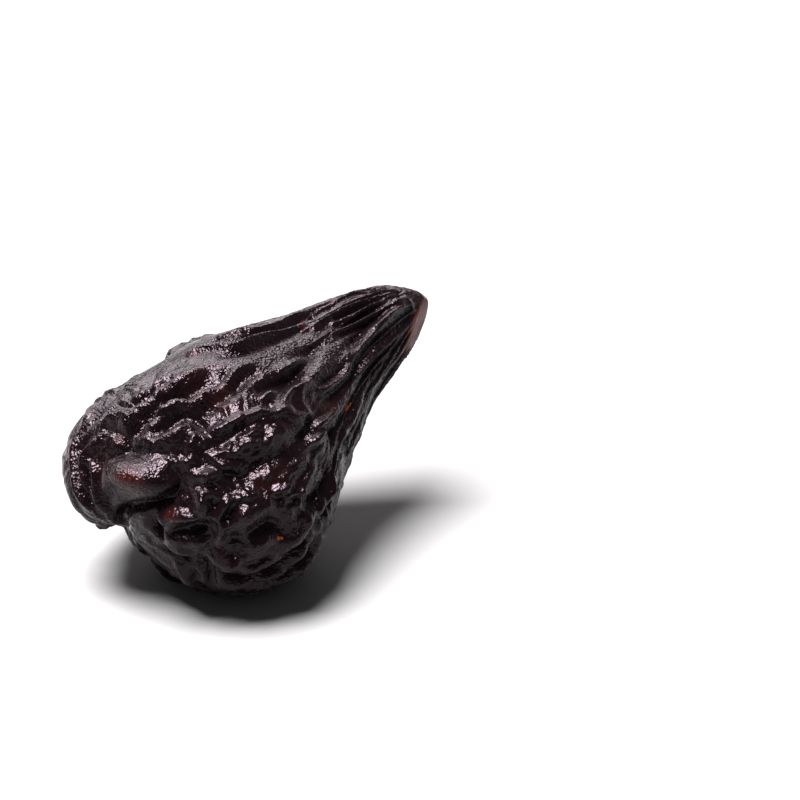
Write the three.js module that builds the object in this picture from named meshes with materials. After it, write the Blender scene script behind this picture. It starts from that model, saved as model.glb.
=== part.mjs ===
// A dried black fig, lying on its side with its neck raised, in millimetres with +Z up.
// The skin has shrunk onto the flesh: long folds run down the neck, lumps and a net of wrinkles cover the
// bulb, and creases run into the eye, the small opening opposite the stem. The stem is cut off at a slant.
// The fruit is one solid. It rests on a flat pressed into its belly, and that flat lies on z = 0.
// A place on the skin is [reach, turn]: the distance over the skin from the eye in mm, and the angle round
// the axis in degrees, where 0 is +Y, 90 the top, 180 -Y and 270 the underside.
import * as THREE from "three";
import { mergeVertices } from "three/addons/utils/BufferGeometryUtils.js";

// Driving dimensions of the fruit.
const NECK_RAISE = 20; // degrees from level up to the axis
const BELLY_PRESSED_IN = 2.0; // how far the smooth belly is flattened where it lies
const BELLY_EDGE = 0.5; // how softly the belly turns into that flat
const CUT_EDGE = 0.25; // the same at the rim of the stem's cut

// Half of the outline, as [distance along the axis, radius], from the eye's floor round to the stem.
const OUTLINE = [
  [3.6, 0], [3.2, 1.0], [2.5, 2.4], [2.3, 4.5], [2.6, 7.0], [3.7, 9.3], [6.0, 11.2], [9.0, 12.4],
  [13.0, 12.9], [17.0, 12.5], [20.2, 11.4], [23.3, 9.8], [26.5, 8.2], [29.6, 6.7], [32.8, 5.4],
  [36.0, 4.2], [39.0, 3.2], [41.0, 2.1], [41.8, 1.1], [42.1, 0],
];

// The axis isn't straight: [distance along it, how far it bows towards BOW_SIDE].
const BOW = [
  [0, 0.4], [5, -0.2], [9, -0.9], [14, -1.6], [18, -1.1],
  [23, -0.2], [28, 0.6], [33, 1.1], [38, 1.1], [43, 0.3],
];
const BOW_SIDE = 50;

// The lobe beside the eye that stands out past it, the side where the eye end falls back, the side where the
// fruit is leaner below its neck, and the slanted cut across the stem.
const EYE_LOBE = { side: 52, radius: 4.4, width: 5.0, length: 3.0 };
const EYE_LEANS = { side: 300, slope: 0.28 };
const SIDE_HOLLOW = { along: 24, length: 12, side: 222, spread: 44, deep: 1.5 };
const STEM_CUT = { reach: 44.8, side: 203, facesStem: 0.5, facesSide: 0.87 };

// Folds seen in the skin: how high each stands (negative where it is sunk), its half width, and its line.
const FOLDS = [
  // The notch at the eye, the smooth bump beside it and the creases round the bump.
  { high: -1.3, wide: 0.6, line: [[1.2, 140], [2.8, 134], [4.4, 130], [5.4, 126]] },
  { high: -1.3, wide: 0.9, line: [[1.6, 322], [3.2, 314], [5.0, 309]] },
  { high: 0.7, wide: 1.2, line: [[2.4, -22], [2.6, 12]] },
  { high: 1.7, wide: 1.4, line: [[8.6, 106], [9.3, 113], [10.0, 120.5], [10.8, 129]] },
  {
    high: -1.0, wide: 0.7,
    line: [[13.2, 131], [12.8, 138], [11.2, 141], [9.5, 142], [8.3, 146], [7.6, 152], [7.4, 159]],
  },
  { high: -1.1, wide: 0.6, line: [[4.4, 124], [6, 129], [7.6, 134], [9.2, 138.5], [11, 141]] },
  { high: -1.0, wide: 0.8, line: [[9.4, 96], [11.1, 104], [12.3, 112], [13.6, 119]] },
  // Fine ridges that follow the outline down to the notch, and the grooves between them.
  {
    high: 0.5, wide: 0.4,
    line: [[12.5, 61], [10, 62], [8.7, 64], [7, 70], [5.8, 76], [4.6, 86], [3.5, 100]],
  },
  {
    high: 0.55, wide: 0.4,
    line: [[11.5, 82], [10.3, 80], [9.2, 76], [8.1, 77], [7, 82], [5.8, 90], [4.8, 98], [3.8, 112]],
  },
  {
    high: 0.55, wide: 0.4,
    line: [[8.8, 79], [8.4, 86], [7.6, 90], [6.5, 93], [5.4, 99], [4.7, 107], [4.0, 122]],
  },
  { high: -0.4, wide: 0.4, line: [[11, 71], [9, 70], [7.4, 75], [6.2, 82], [5, 91], [3.9, 106]] },
  { high: -0.4, wide: 0.4, line: [[10.4, 86], [9, 82], [7.5, 85], [6.3, 89], [5.2, 95], [4.4, 110]] },
  { high: -0.4, wide: 0.5, line: [[9.4, 89], [8, 95], [6.5, 99], [5.4, 106], [4.8, 118]] },
  // Lumps on the upper part of the bulb.
  { high: 0.7, wide: 2.4, line: [[9, 52], [11.5, 50], [14, 50]] },
  { high: 0.5, wide: 0.9, line: [[11.9, 75], [12.8, 80], [13.4, 84]] },
  { high: 0.5, wide: 0.7, line: [[13.2, 84], [14, 87], [15.4, 87.5]] },
  { high: 0.8, wide: 1.1, line: [[12.4, 91.5], [13.7, 93], [15, 92], [16.4, 91], [18.2, 90], [20, 91]] },
  { high: 0.7, wide: 0.8, line: [[20.2, 92], [21.2, 92.5], [22.6, 92]] },
  { high: 0.45, wide: 0.6, line: [[15.4, 80], [17.5, 83], [19.6, 84], [22, 87]] },
  { high: 0.7, wide: 1.0, line: [[13.3, 110.5], [14.2, 106.5], [15.6, 102.5], [16.6, 104]] },
  { high: 0.8, wide: 1.0, line: [[12.7, 113], [13.9, 114.5], [15.2, 115], [17, 115]] },
  { high: 0.5, wide: 0.6, line: [[12.3, 102], [12.5, 109]] },
  { high: 0.7, wide: 0.8, line: [[16.8, 101], [18.3, 102]] },
  { high: 0.6, wide: 0.6, line: [[18.3, 103.5], [18.9, 109]] },
  { high: 0.7, wide: 0.7, line: [[19.4, 107.5], [20.8, 105.5]] },
  { high: 0.5, wide: 0.5, line: [[23.4, 107], [24.6, 105.5], [26.4, 107.5]] },
  // Creases between those lumps.
  { high: -1.0, wide: 0.7, line: [[12, 100], [13.2, 99], [14.6, 97], [16, 97], [17.5, 96], [18.9, 98]] },
  { high: -0.8, wide: 0.7, line: [[18.4, 97.5], [20.2, 98.5], [22.4, 99.5]] },
  { high: -0.8, wide: 0.6, line: [[14.3, 110], [16, 109.5], [17.2, 108.5]] },
  { high: -0.8, wide: 0.8, line: [[16.6, 107], [17.7, 111], [18.1, 116], [18, 120]] },
  { high: -0.5, wide: 0.5, line: [[14.4, 83], [16, 86.5], [17.4, 87], [19.4, 87]] },
  { high: -0.5, wide: 0.6, line: [[11.2, 80], [12, 85], [12.2, 91], [11.6, 97]] },
  { high: -0.7, wide: 0.7, line: [[19.8, 112], [22, 112], [24.4, 111], [26, 112]] },
  { high: -0.5, wide: 0.5, line: [[21.6, 103], [23, 103], [24.4, 103]] },
  // Long ridges along the top of the neck, and the grooves between them.
  {
    high: 0.7, wide: 0.45,
    line: [[26, 77], [28.2, 77.5], [29.7, 80], [31.5, 84], [34, 83], [36.4, 79], [40.5, 77], [44, 78]],
  },
  {
    high: 0.8, wide: 0.45,
    line: [[23.4, 77], [24.8, 82], [25.9, 88], [27.2, 93], [29.4, 93.5], [31.6, 93], [33.8, 94.5], [36, 94]],
  },
  {
    high: -0.6, wide: 0.5,
    line: [[26.6, 83], [28.2, 85.5], [30, 87], [31.6, 88.5], [34, 88.5], [36.5, 86], [39, 85], [41, 84]],
  },
  { high: -0.5, wide: 0.5, line: [[25.2, 94], [27.4, 98.5], [30, 98.5], [32.6, 97.5], [35, 98.5]] },
  { high: 0.45, wide: 0.45, line: [[38.6, 86], [41.2, 88], [44, 90], [47.5, 94]] },
  { high: -0.5, wide: 0.4, line: [[38, 91], [41, 93], [44.5, 95], [48, 100]] },
  { high: 0.5, wide: 0.45, line: [[36.8, 102], [39, 99.5], [41, 99], [43.5, 100], [47, 104]] },
  // Slots and ridges that run together at the stem.
  { high: -0.6, wide: 0.35, line: [[39.6, 104], [41.6, 105], [44.5, 105.5], [47.5, 109]] },
  { high: 0.5, wide: 0.4, line: [[39, 108], [41, 110], [43.5, 111], [46.5, 113]] },
  { high: -0.7, wide: 0.35, line: [[39, 112.5], [41, 115], [43, 115.5], [46, 117]] },
  { high: 0.5, wide: 0.4, line: [[38, 116], [39.6, 119], [42, 121], [45, 121.5], [48, 123]] },
  { high: -0.6, wide: 0.35, line: [[38.4, 120.5], [40, 123], [42.4, 125], [45.4, 126]] },
  { high: -1.0, wide: 0.5, line: [[38.3, 136.5], [39.8, 133.5], [41.5, 131.5], [44, 128.5]] },
  { high: 0.6, wide: 0.6, line: [[41.6, 135], [43.2, 134.5], [45.4, 131.5], [48, 131]] },
  { high: 0.8, wide: 0.7, line: [[36, 144.5], [38.4, 142.7], [41, 140.7], [43.4, 139.5], [46.4, 136.5]] },
  { high: -0.5, wide: 0.6, line: [[37.4, 149], [40.4, 147.5], [43.6, 145.5], [47, 142]] },
  { high: 0.4, wide: 0.6, line: [[38, 156], [41.5, 154], [45, 150]] },
  // Pits, furrows and ridges round the smooth side of the neck.
  { high: -1.0, wide: 0.6, line: [[34, 122.5], [32, 125], [29.4, 125.5], [27, 122.5], [25.2, 120.5]] },
  { high: 0.6, wide: 0.6, line: [[32.6, 119.5], [30.8, 121], [28.8, 120]] },
  { high: -0.6, wide: 0.5, line: [[35.8, 118], [33.8, 117.5], [31.4, 116.5]] },
  { high: 0.45, wide: 1.4, line: [[29.6, 132], [32, 133], [34.6, 133]] },
  { high: -0.5, wide: 0.4, line: [[31.4, 139], [33, 142], [34.6, 143.5], [36.4, 143]] },
  { high: 0.5, wide: 0.4, line: [[31.4, 142], [33, 145], [34.6, 147], [36.4, 146.4]] },
  { high: -0.5, wide: 0.6, line: [[30.6, 145], [32.6, 150], [35.6, 153], [38.6, 153]] },
  { high: 0.5, wide: 0.4, line: [[26.4, 132], [28.1, 130.2], [29.4, 132.5], [30.4, 135]] },
  { high: -0.6, wide: 0.6, line: [[25.4, 128.5], [27.4, 127], [29.4, 128.5]] },
  { high: 0.5, wide: 0.4, line: [[24.6, 124], [26.4, 124.5]] },
  // Thin ridges of the net over the middle of the bulb.
  {
    high: 0.6, wide: 0.4,
    line: [[18.6, 122.8], [20.1, 124.2], [21.6, 124.8], [22.4, 127], [23.6, 128.5], [24.3, 132]],
  },
  { high: 0.6, wide: 0.5, line: [[24.2, 133], [25.4, 134.5], [26.2, 137]] },
  { high: 0.5, wide: 0.4, line: [[25.6, 138.5], [26.4, 141.7], [28, 144.7]] },
  { high: 0.6, wide: 0.4, line: [[15.5, 125], [16.1, 123.5], [16.9, 122], [17.4, 123.3], [17.1, 126.5]] },
  {
    high: 0.6, wide: 0.4,
    line: [[18.9, 132.5], [18.4, 135.5], [19.2, 136.2], [20.2, 135], [21, 137], [21.8, 140]],
  },
  { high: 0.5, wide: 0.4, line: [[20.4, 131.5], [22, 133.5]] },
  { high: 0.5, wide: 0.6, line: [[22.8, 139.5], [24.6, 142]] },
  { high: 0.6, wide: 0.5, line: [[14.5, 136.3], [15.2, 139.3], [16, 139.8], [17.2, 140]] },
  { high: 0.5, wide: 0.4, line: [[15.2, 139.5], [14.7, 144]] },
  { high: 0.5, wide: 0.5, line: [[14, 129.5], [15.2, 129.5]] },
  {
    high: 0.7, wide: 0.4,
    line: [[18.2, 156], [17, 154.7], [16, 153.7], [15.2, 155.2], [14.4, 157.7], [14, 160], [14.2, 163.3]],
  },
  { high: 0.6, wide: 0.4, line: [[14.2, 163], [13.6, 168], [13, 173]] },
  { high: 0.6, wide: 0.4, line: [[19.6, 158.3], [20.8, 160], [22, 161]] },
  { high: 0.5, wide: 0.4, line: [[20, 166], [21, 164.5], [22, 166], [22.8, 168]] },
  { high: 0.5, wide: 0.4, line: [[22.8, 167], [21.6, 170.5]] },
  { high: 0.5, wide: 0.4, line: [[23.4, 155.7], [25, 159]] },
  { high: 0.5, wide: 0.4, line: [[23.4, 166.5], [24.4, 165.3], [26.2, 166]] },
  { high: 0.6, wide: 0.4, line: [[26.2, 155.3], [27.5, 157.5], [28.8, 158.7]] },
  { high: 0.6, wide: 0.4, line: [[28.2, 152.7], [30, 156], [32, 158.2]] },
  { high: -0.6, wide: 0.6, line: [[17.6, 129], [19.6, 129.5], [21.4, 129]] },
  { high: -0.7, wide: 0.8, line: [[16.4, 145], [18.4, 147], [20.4, 146], [22.6, 148]] },
  { high: -0.6, wide: 0.7, line: [[24.4, 149], [26.4, 151], [29, 149]] },
  { high: -0.6, wide: 0.6, line: [[12.6, 143], [13, 146.5], [12.2, 150]] },
  // Lumps low on the bulb.
  { high: 0.8, wide: 0.7, line: [[15, 148.5], [14, 147.5], [13.4, 152.5]] },
  { high: 0.9, wide: 0.8, line: [[9.6, 150.5], [10.8, 153.5], [12, 155], [13.1, 156]] },
  { high: 0.5, wide: 0.6, line: [[8.3, 144], [8.8, 150], [9.4, 156.5]] },
  { high: 1.0, wide: 1.1, line: [[15.8, 164], [17.3, 163]] },
  { high: 0.8, wide: 0.8, line: [[15.4, 178.5], [16.5, 177.7], [17.5, 179]] },
  { high: 0.8, wide: 1.3, line: [[7.7, 166], [9.6, 168], [11.6, 169]] },
  { high: 0.5, wide: 0.5, line: [[8.6, 173], [9.8, 176], [10.8, 180]] },
  { high: 0.9, wide: 1.3, line: [[11.8, 184.5], [13.8, 189], [16, 190], [18.3, 187], [20.6, 183]] },
  { high: 0.6, wide: 0.8, line: [[18.4, 162], [19.2, 163]] },
  // Creases between them, and slanting folds at the foot of the bulb.
  { high: -0.8, wide: 0.45, line: [[7.6, 156], [7.5, 160], [7.4, 166]] },
  { high: -0.7, wide: 0.7, line: [[9, 160.5], [11, 161.5], [13, 160.5]] },
  { high: -0.7, wide: 0.7, line: [[12.4, 166], [12.6, 172], [11.6, 178], [11, 183]] },
  { high: -0.8, wide: 0.7, line: [[7, 178], [8, 184], [9.4, 188], [11, 189]] },
  { high: -0.6, wide: 0.6, line: [[14.4, 172], [15, 176], [14, 181]] },
  { high: -0.7, wide: 0.7, line: [[17, 171], [18.6, 173], [19, 179]] },
  { high: -0.8, wide: 0.6, line: [[11, 188], [11.2, 196], [11.4, 208]] },
  {
    high: -0.9, wide: 0.6,
    line: [[11.4, 191], [12.3, 197], [14, 199.5], [16.2, 196.3], [18.3, 194], [20.7, 189.5]],
  },
  { high: 0.6, wide: 0.8, line: [[12.2, 206], [14.6, 205], [17, 202], [19.2, 199], [21.4, 194]] },
  { high: -0.8, wide: 0.6, line: [[14, 211], [16.4, 207.5], [18.6, 206], [21, 202], [23, 196]] },
  { high: 0.6, wide: 0.8, line: [[14.4, 217], [17.4, 212], [20, 210], [22.6, 204]] },
  { high: 0.5, wide: 0.6, line: [[8, 196], [8.6, 206], [9.4, 218]] },
  { high: -0.5, wide: 0.5, line: [[9.2, 196], [9.8, 206], [10.4, 218]] },
  // Upright folds on the side under the neck.
  { high: -0.5, wide: 0.6, line: [[21.6, 174], [23.6, 177], [26, 178]] },
  { high: 0.5, wide: 0.7, line: [[22, 181], [24.4, 184], [27, 184]] },
  { high: -0.5, wide: 0.5, line: [[23.4, 188], [25.6, 190], [28, 190]] },
  { high: 0.6, wide: 0.9, line: [[26.4, 186], [27.8, 187.5], [30, 187]] },
  { high: 0.45, wide: 0.6, line: [[29, 172], [32, 175], [36, 176]] },
  { high: -0.45, wide: 0.6, line: [[30, 165], [33, 168], [37, 167], [41, 164]] },
  { high: -0.45, wide: 0.6, line: [[31, 182], [34, 184], [38, 182]] },
];

// The sides that the fruit turns away have folds of the same kinds, drawn from a seeded run of numbers.
const HIDDEN_FOLDS = { seed: 20, count: 64, turnFrom: 240, turnTo: 396, reachFrom: 5, reachTo: 44 };

// The whole skin, all heights in mm: broad swells, a net of ridges, rounded lumps parted by creases, folds
// into the eye and ridges down the neck. A size is the length of one wave over the skin.
const SWELL = { size: 13, high: 0.2, seed: 3 };
const NET = { size: 5.6, high: 0.2, width: 0.4, seed: 7 };
const LUMPS = { size: 7, high: 0.5, seed: 12 };
const SMALL_LUMPS = { size: 4, high: 0.2, seed: 21 };
const WARP = { size: 8, pull: 1.1, seed: 31 }; // bends the net and the lumps
const CREASE_ROUND = 0.12;
const EYE_FOLDS = { count: 17, high: 0.3 };
const NECK_RIDGES = { counts: [8, 13, 19], lean: 0.16, high: 0.4 };
const FOLDS_MEAN = 0.1; // taken off again, so that raised folds don't fatten the fruit

// The patterns are calmer on the side with the drawn folds, and calmer still in some smooth patches.
const SEEN_SIDE = { side: 120, spread: 75, calmer: 0.15 };
const SMOOTH_PATCHES = [
  { place: [9.8, 113], size: 3.4, calmer: 0.95 },
  { place: [11.5, 123], size: 2.6, calmer: 0.9 },
  { place: [6.5, 128], size: 3.0, calmer: 0.8 },
  { place: [34.5, 131], size: 4.5, calmer: 0.75 },
  { place: [7, 80], size: 5.0, calmer: 0.8 },
  { place: [27, 108], size: 4.5, calmer: 0.7 },
  { place: [24, 56], size: 6.0, calmer: 0.8 },
  { place: [31, 66], size: 4.0, calmer: 0.6 },
  { place: [25, 87], size: 4.0, calmer: 0.75 },
  { place: [19.5, 70], size: 3.5, calmer: 0.7 },
  { place: [30.5, 99], size: 3.5, calmer: 0.6 },
  { place: [12, 236], size: 5.0, calmer: 0.6 },
  { place: [20, 234], size: 5.0, calmer: 0.6 },
  { place: [3, 190], size: 4.0, calmer: 0.6 },
];

// The skin's mesh is a sphere of 20 (SPHERE_DETAIL + 1) squared triangles, drawn out over the fruit.
const SPHERE_DETAIL = 23;
const OUTLINE_STEPS = 800;
const FOLD_STEP = 0.25; // mm between the points of a fold's line
const FOLD_BLUR = 0.4; // mm by which folds are blurred, so that the mesh can follow the narrow ones
const WAVES = 40; // plane waves laid over one another for a wavy pattern
const GOLDEN_TURN = 2.399963; // radians, for directions spread evenly over a sphere

const radians = THREE.MathUtils.degToRad;
const { clamp, lerp, smoothstep } = THREE.MathUtils;
const asCurve = (points) => new THREE.SplineCurve(points.map(([x, y]) => new THREE.Vector2(x, y)));
const bell = (distance, width) => Math.exp(-((distance / width) ** 2));

// Reads a table of [x, y] points, x rising, as one smooth line.
function smoothLine(points) {
  const steps = asCurve(points).getPoints(OUTLINE_STEPS);
  return (x) => {
    let i = 1;
    while (i < steps.length - 1 && steps[i].x < x) i++;
    const mix = (x - steps[i - 1].x) / (steps[i].x - steps[i - 1].x);
    return lerp(steps[i - 1].y, steps[i].y, clamp(mix, 0, 1));
  };
}

// The outline in even steps, with the share of the skin's area that lies before each step.
const outlineSteps = asCurve(OUTLINE).getSpacedPoints(OUTLINE_STEPS);
const outlineLength = asCurve(OUTLINE).getLength();
const areaBefore = [0];
for (let i = 1; i < outlineSteps.length; i++) {
  const ring = Math.max(outlineSteps[i].y + outlineSteps[i - 1].y, 0);
  areaBefore.push(areaBefore[i - 1] + ring);
}

// How far over the skin from the eye, in mm, a share of the whole area lies.
function reachOfShare(share) {
  const area = share * areaBefore[OUTLINE_STEPS];
  let i = 1;
  while (i < OUTLINE_STEPS && areaBefore[i] < area) i++;
  const mix = (area - areaBefore[i - 1]) / (areaBefore[i] - areaBefore[i - 1]);
  return ((i - 1 + clamp(mix, 0, 1)) / OUTLINE_STEPS) * outlineLength;
}

// The outline's point at a distance over the skin from the eye.
function outlineAt(reach) {
  const step = clamp((reach / outlineLength) * OUTLINE_STEPS, 0, OUTLINE_STEPS - 1e-6);
  const i = Math.floor(step);
  return outlineSteps[i].clone().lerp(outlineSteps[i + 1], step - i);
}

const bowAt = smoothLine(BOW);
const apart = (turn, side) => Math.atan2(Math.sin(turn - radians(side)), Math.cos(turn - radians(side)));

// The smooth fruit with its axis along X: its point at a reach and an angle round, in radians.
function smoothSkin(reach, turn) {
  const { x: along, y: drawnRadius } = outlineAt(reach);
  const lowSide = bell(apart(turn, SIDE_HOLLOW.side), radians(SIDE_HOLLOW.spread));
  const hollow = SIDE_HOLLOW.deep * bell(along - SIDE_HOLLOW.along, SIDE_HOLLOW.length) * lowSide;
  const radius = Math.max(drawnRadius, 0) - hollow * smoothstep(drawnRadius, 0, 8);
  const y = radius * Math.cos(turn);
  const z = radius * Math.sin(turn);
  const lobeY = EYE_LOBE.radius * Math.cos(radians(EYE_LOBE.side));
  const lobeZ = EYE_LOBE.radius * Math.sin(radians(EYE_LOBE.side));
  const nearEye = 1 - smoothstep(along, 4, 12);
  const lobe = EYE_LOBE.length * bell(Math.hypot(y - lobeY, z - lobeZ), EYE_LOBE.width);
  const lean = EYE_LEANS.slope * Math.max(radius * Math.cos(apart(turn, EYE_LEANS.side)), 0);
  const bow = bowAt(along);
  return new THREE.Vector3(
    along + (lean - lobe) * nearEye,
    y + bow * Math.cos(radians(BOW_SIDE)),
    z + bow * Math.sin(radians(BOW_SIDE)),
  );
}

// A seeded run of even random numbers from 0 to 1.
function seededRun(seed) {
  let state = seed;
  return () => {
    state = (Math.imul(state, 1664525) + 1013904223) >>> 0;
    return state / 4294967296;
  };
}

// Folds for the hidden sides: lumps, creases and thin ridges that mostly run along the fruit.
function drawHiddenFolds({ seed, count, turnFrom, turnTo, reachFrom, reachTo }) {
  const next = seededRun(seed);
  const folds = [];
  for (let i = 0; i < count; i++) {
    const reach = lerp(reachFrom, reachTo, next() ** 1.3);
    const turn = lerp(turnFrom, turnTo, next());
    const length = lerp(2.5, 6.5, next()) * lerp(0.7, 1.5, smoothstep(reach, 16, 34));
    const slant = lerp(-9, 9, next()) * (1 - 0.6 * smoothstep(reach, 20, 36));
    const kink = lerp(-5, 5, next());
    const kind = next();
    const lump = kind < 0.35 && reach < 30;
    const high = lump ? 0.5 : kind < 0.68 ? -0.55 : 0.45;
    const wide = lump ? lerp(1.1, 1.7, next()) : lerp(0.5, 0.8, next());
    const bend = [reach + length / 2, turn + slant / 2 + kink];
    const line = [[reach, turn], bend, [reach + length, turn + slant]];
    folds.push({ high, wide, line });
  }
  return folds;
}

// Each fold's line as close points on the smooth skin, with its height falling off towards both ends.
function layFold({ high, wide, line }) {
  const blurred = Math.hypot(wide, FOLD_BLUR);
  const points = [];
  const smooth = asCurve(line);
  const count = Math.max(Math.ceil(lengthOf(line) / FOLD_STEP), 2);
  for (let i = 0; i <= count; i++) {
    const share = i / count;
    const { x: reach, y: turn } = smooth.getPoint(share);
    const falling = Math.sin(Math.PI * (0.12 + 0.76 * share)) ** 0.6;
    points.push({ spot: smoothSkin(reach, radians(turn)), high: high * falling * (wide / blurred) });
  }
  return { points, wide: blurred };
}

function lengthOf(line) {
  let length = 0;
  for (let i = 1; i < line.length; i++) {
    const before = smoothSkin(line[i - 1][0], radians(line[i - 1][1]));
    length += before.distanceTo(smoothSkin(line[i][0], radians(line[i][1])));
  }
  return length;
}

const laidFolds = [...FOLDS, ...drawHiddenFolds(HIDDEN_FOLDS)].map(layFold);

// How high the folds stand at a spot of the smooth skin: each counts by the nearest point of its line.
function foldsAt(spot) {
  let sum = 0;
  for (const { points, wide } of laidFolds) {
    let nearest = Infinity;
    let high = 0;
    for (const point of points) {
      const distance = point.spot.distanceToSquared(spot);
      if (distance < nearest) {
        nearest = distance;
        high = point.high;
      }
    }
    if (nearest < (3 * wide) ** 2) sum += high * bell(Math.sqrt(nearest), wide);
  }
  return sum;
}

// A wavy pattern over the skin, with no grain in any one direction: many plane waves of one length.
function ripple(spot, { size, seed }) {
  const beat = (2 * Math.PI) / size;
  let sum = 0;
  for (let i = 0; i < WAVES; i++) {
    const up = 1 - (2 * i + 1) / WAVES;
    const level = Math.sqrt(1 - up * up);
    const round = GOLDEN_TURN * (i + 0.37 * seed);
    const sideways = spot.y * Math.cos(round) + spot.z * Math.sin(round);
    sum += Math.sin(beat * (spot.x * up + sideways * level) + seed * (i + 1) * (i + 2));
  }
  return sum * Math.sqrt(2 / WAVES);
}

// Rounded lumps parted by creases.
function lumpsOf(spot, pattern) {
  return pattern.high * (Math.min(Math.hypot(ripple(spot, pattern), CREASE_ROUND), 1.4) - 0.75);
}

// How high the skin stands over the smooth fruit.
function reliefAt(spot, reach, turn) {
  let rough = 1 - SEEN_SIDE.calmer * bell(apart(turn, SEEN_SIDE.side), radians(SEEN_SIDE.spread));
  for (const { place, size, calmer } of SMOOTH_PATCHES) {
    rough *= 1 - calmer * bell(spot.distanceTo(smoothSkin(place[0], radians(place[1]))), size);
  }
  const neck = smoothstep(reach, 25, 36) * (1 - smoothstep(reach, 46, 50));
  const bulb = 1 - smoothstep(reach, 26, 38);
  const nearEye = smoothstep(reach, 0.8, 3) * (1 - smoothstep(reach, 6, 11));
  const lumpyTop = bell(reach - 14, 7) * bell(apart(turn, 90), radians(50));
  const lumpy = Math.min(lumpyTop + bell(apart(turn, 290), radians(60)), 1);

  const warps = [0, 1, 2].map((k) => ripple(spot, { size: WARP.size, seed: WARP.seed + k }));
  const pulled = new THREE.Vector3(...warps).multiplyScalar(WARP.pull).add(spot);
  const swell = SWELL.high * ripple(spot, SWELL);
  const net = NET.high * (bell(ripple(pulled, NET), NET.width) - 0.27);
  const lumps = lumpsOf(pulled, LUMPS) * (0.6 + 0.4 * lumpy) + lumpsOf(pulled, SMALL_LUMPS);
  const round = (EYE_FOLDS.count / 2) * turn + 0.5 * Math.sin(3 * turn);
  const eyeFolds = EYE_FOLDS.high * (Math.abs(Math.sin(round)) - 0.64);
  let waves = 0;
  NECK_RIDGES.counts.forEach((count, i) => {
    waves += Math.sin(count * turn + NECK_RIDGES.lean * (i % 2 ? -1 : 1) * reach + 2 * i);
  });
  const neckRidges = NECK_RIDGES.high * (0.6 - Math.min(Math.abs(waves), 1));
  const folds = foldsAt(spot) - FOLDS_MEAN;
  return swell + folds + rough * (bulb * (net + lumps) + neck * neckRidges) + nearEye * eyeFolds;
}

// Presses points that lie beyond a plane onto it, easing round its edge.
function pressFlat(spots, plane, edge) {
  const p = new THREE.Vector3();
  for (let i = 0; i < spots.count; i++) {
    p.fromBufferAttribute(spots, i);
    const beyond = plane.distanceToPoint(p);
    const eased = beyond >= edge ? 0 : beyond <= -edge ? beyond : -((beyond - edge) ** 2) / (4 * edge);
    p.addScaledVector(plane.normal, eased - beyond);
    spots.setXYZ(i, p.x, p.y, p.z);
  }
}

const sphere = new THREE.IcosahedronGeometry(1, SPHERE_DETAIL);
sphere.deleteAttribute("normal");
sphere.deleteAttribute("uv");
const skin = mergeVertices(sphere, 1e-5);
const spots = skin.getAttribute("position");
const places = [];
for (let i = 0; i < spots.count; i++) {
  const onSphere = new THREE.Vector3().fromBufferAttribute(spots, i).normalize();
  const reach = reachOfShare((1 + onSphere.x) / 2);
  const turn = Math.atan2(onSphere.z, onSphere.y);
  const spot = smoothSkin(reach, turn);
  places.push({ spot, reach, turn });
  spots.setXYZ(i, spot.x, spot.y, spot.z);
}
skin.computeVertexNormals();
const outward = skin.getAttribute("normal");
const lying = skin.clone().rotateY(-radians(NECK_RAISE));
lying.computeBoundingBox();
const floorBelowAxis = -lying.boundingBox.min.z - BELLY_PRESSED_IN;
places.forEach(({ spot, reach, turn }, i) => {
  const direction = new THREE.Vector3().fromBufferAttribute(outward, i);
  const p = spot.clone().addScaledVector(direction, reliefAt(spot, reach, turn));
  spots.setXYZ(i, p.x, p.y, p.z);
});

const cutTurn = radians(STEM_CUT.side);
const cutFaces = new THREE.Vector3(
  STEM_CUT.facesStem,
  STEM_CUT.facesSide * Math.cos(cutTurn),
  STEM_CUT.facesSide * Math.sin(cutTurn),
);
const cutThrough = smoothSkin(STEM_CUT.reach, cutTurn);
pressFlat(spots, new THREE.Plane().setFromNormalAndCoplanarPoint(cutFaces.normalize(), cutThrough), CUT_EDGE);

skin.rotateY(-radians(NECK_RAISE));
skin.translate(0, 0, floorBelowAxis);
pressFlat(spots, new THREE.Plane(new THREE.Vector3(0, 0, -1), 0), BELLY_EDGE);
skin.computeBoundingBox();
const middle = skin.boundingBox.getCenter(new THREE.Vector3());
skin.translate(-middle.x, -middle.y, 0);
skin.computeVertexNormals();

const darkSkin = new THREE.MeshStandardMaterial({ color: 0x1d1214, roughness: 0.38, metalness: 0 });
const fig = new THREE.Mesh(skin, darkSkin);
fig.name = "fig";
const part = new THREE.Group();
part.add(fig);
export default part;
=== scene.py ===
import math

import bpy
import numpy as np
from mathutils import Matrix, Vector


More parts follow.
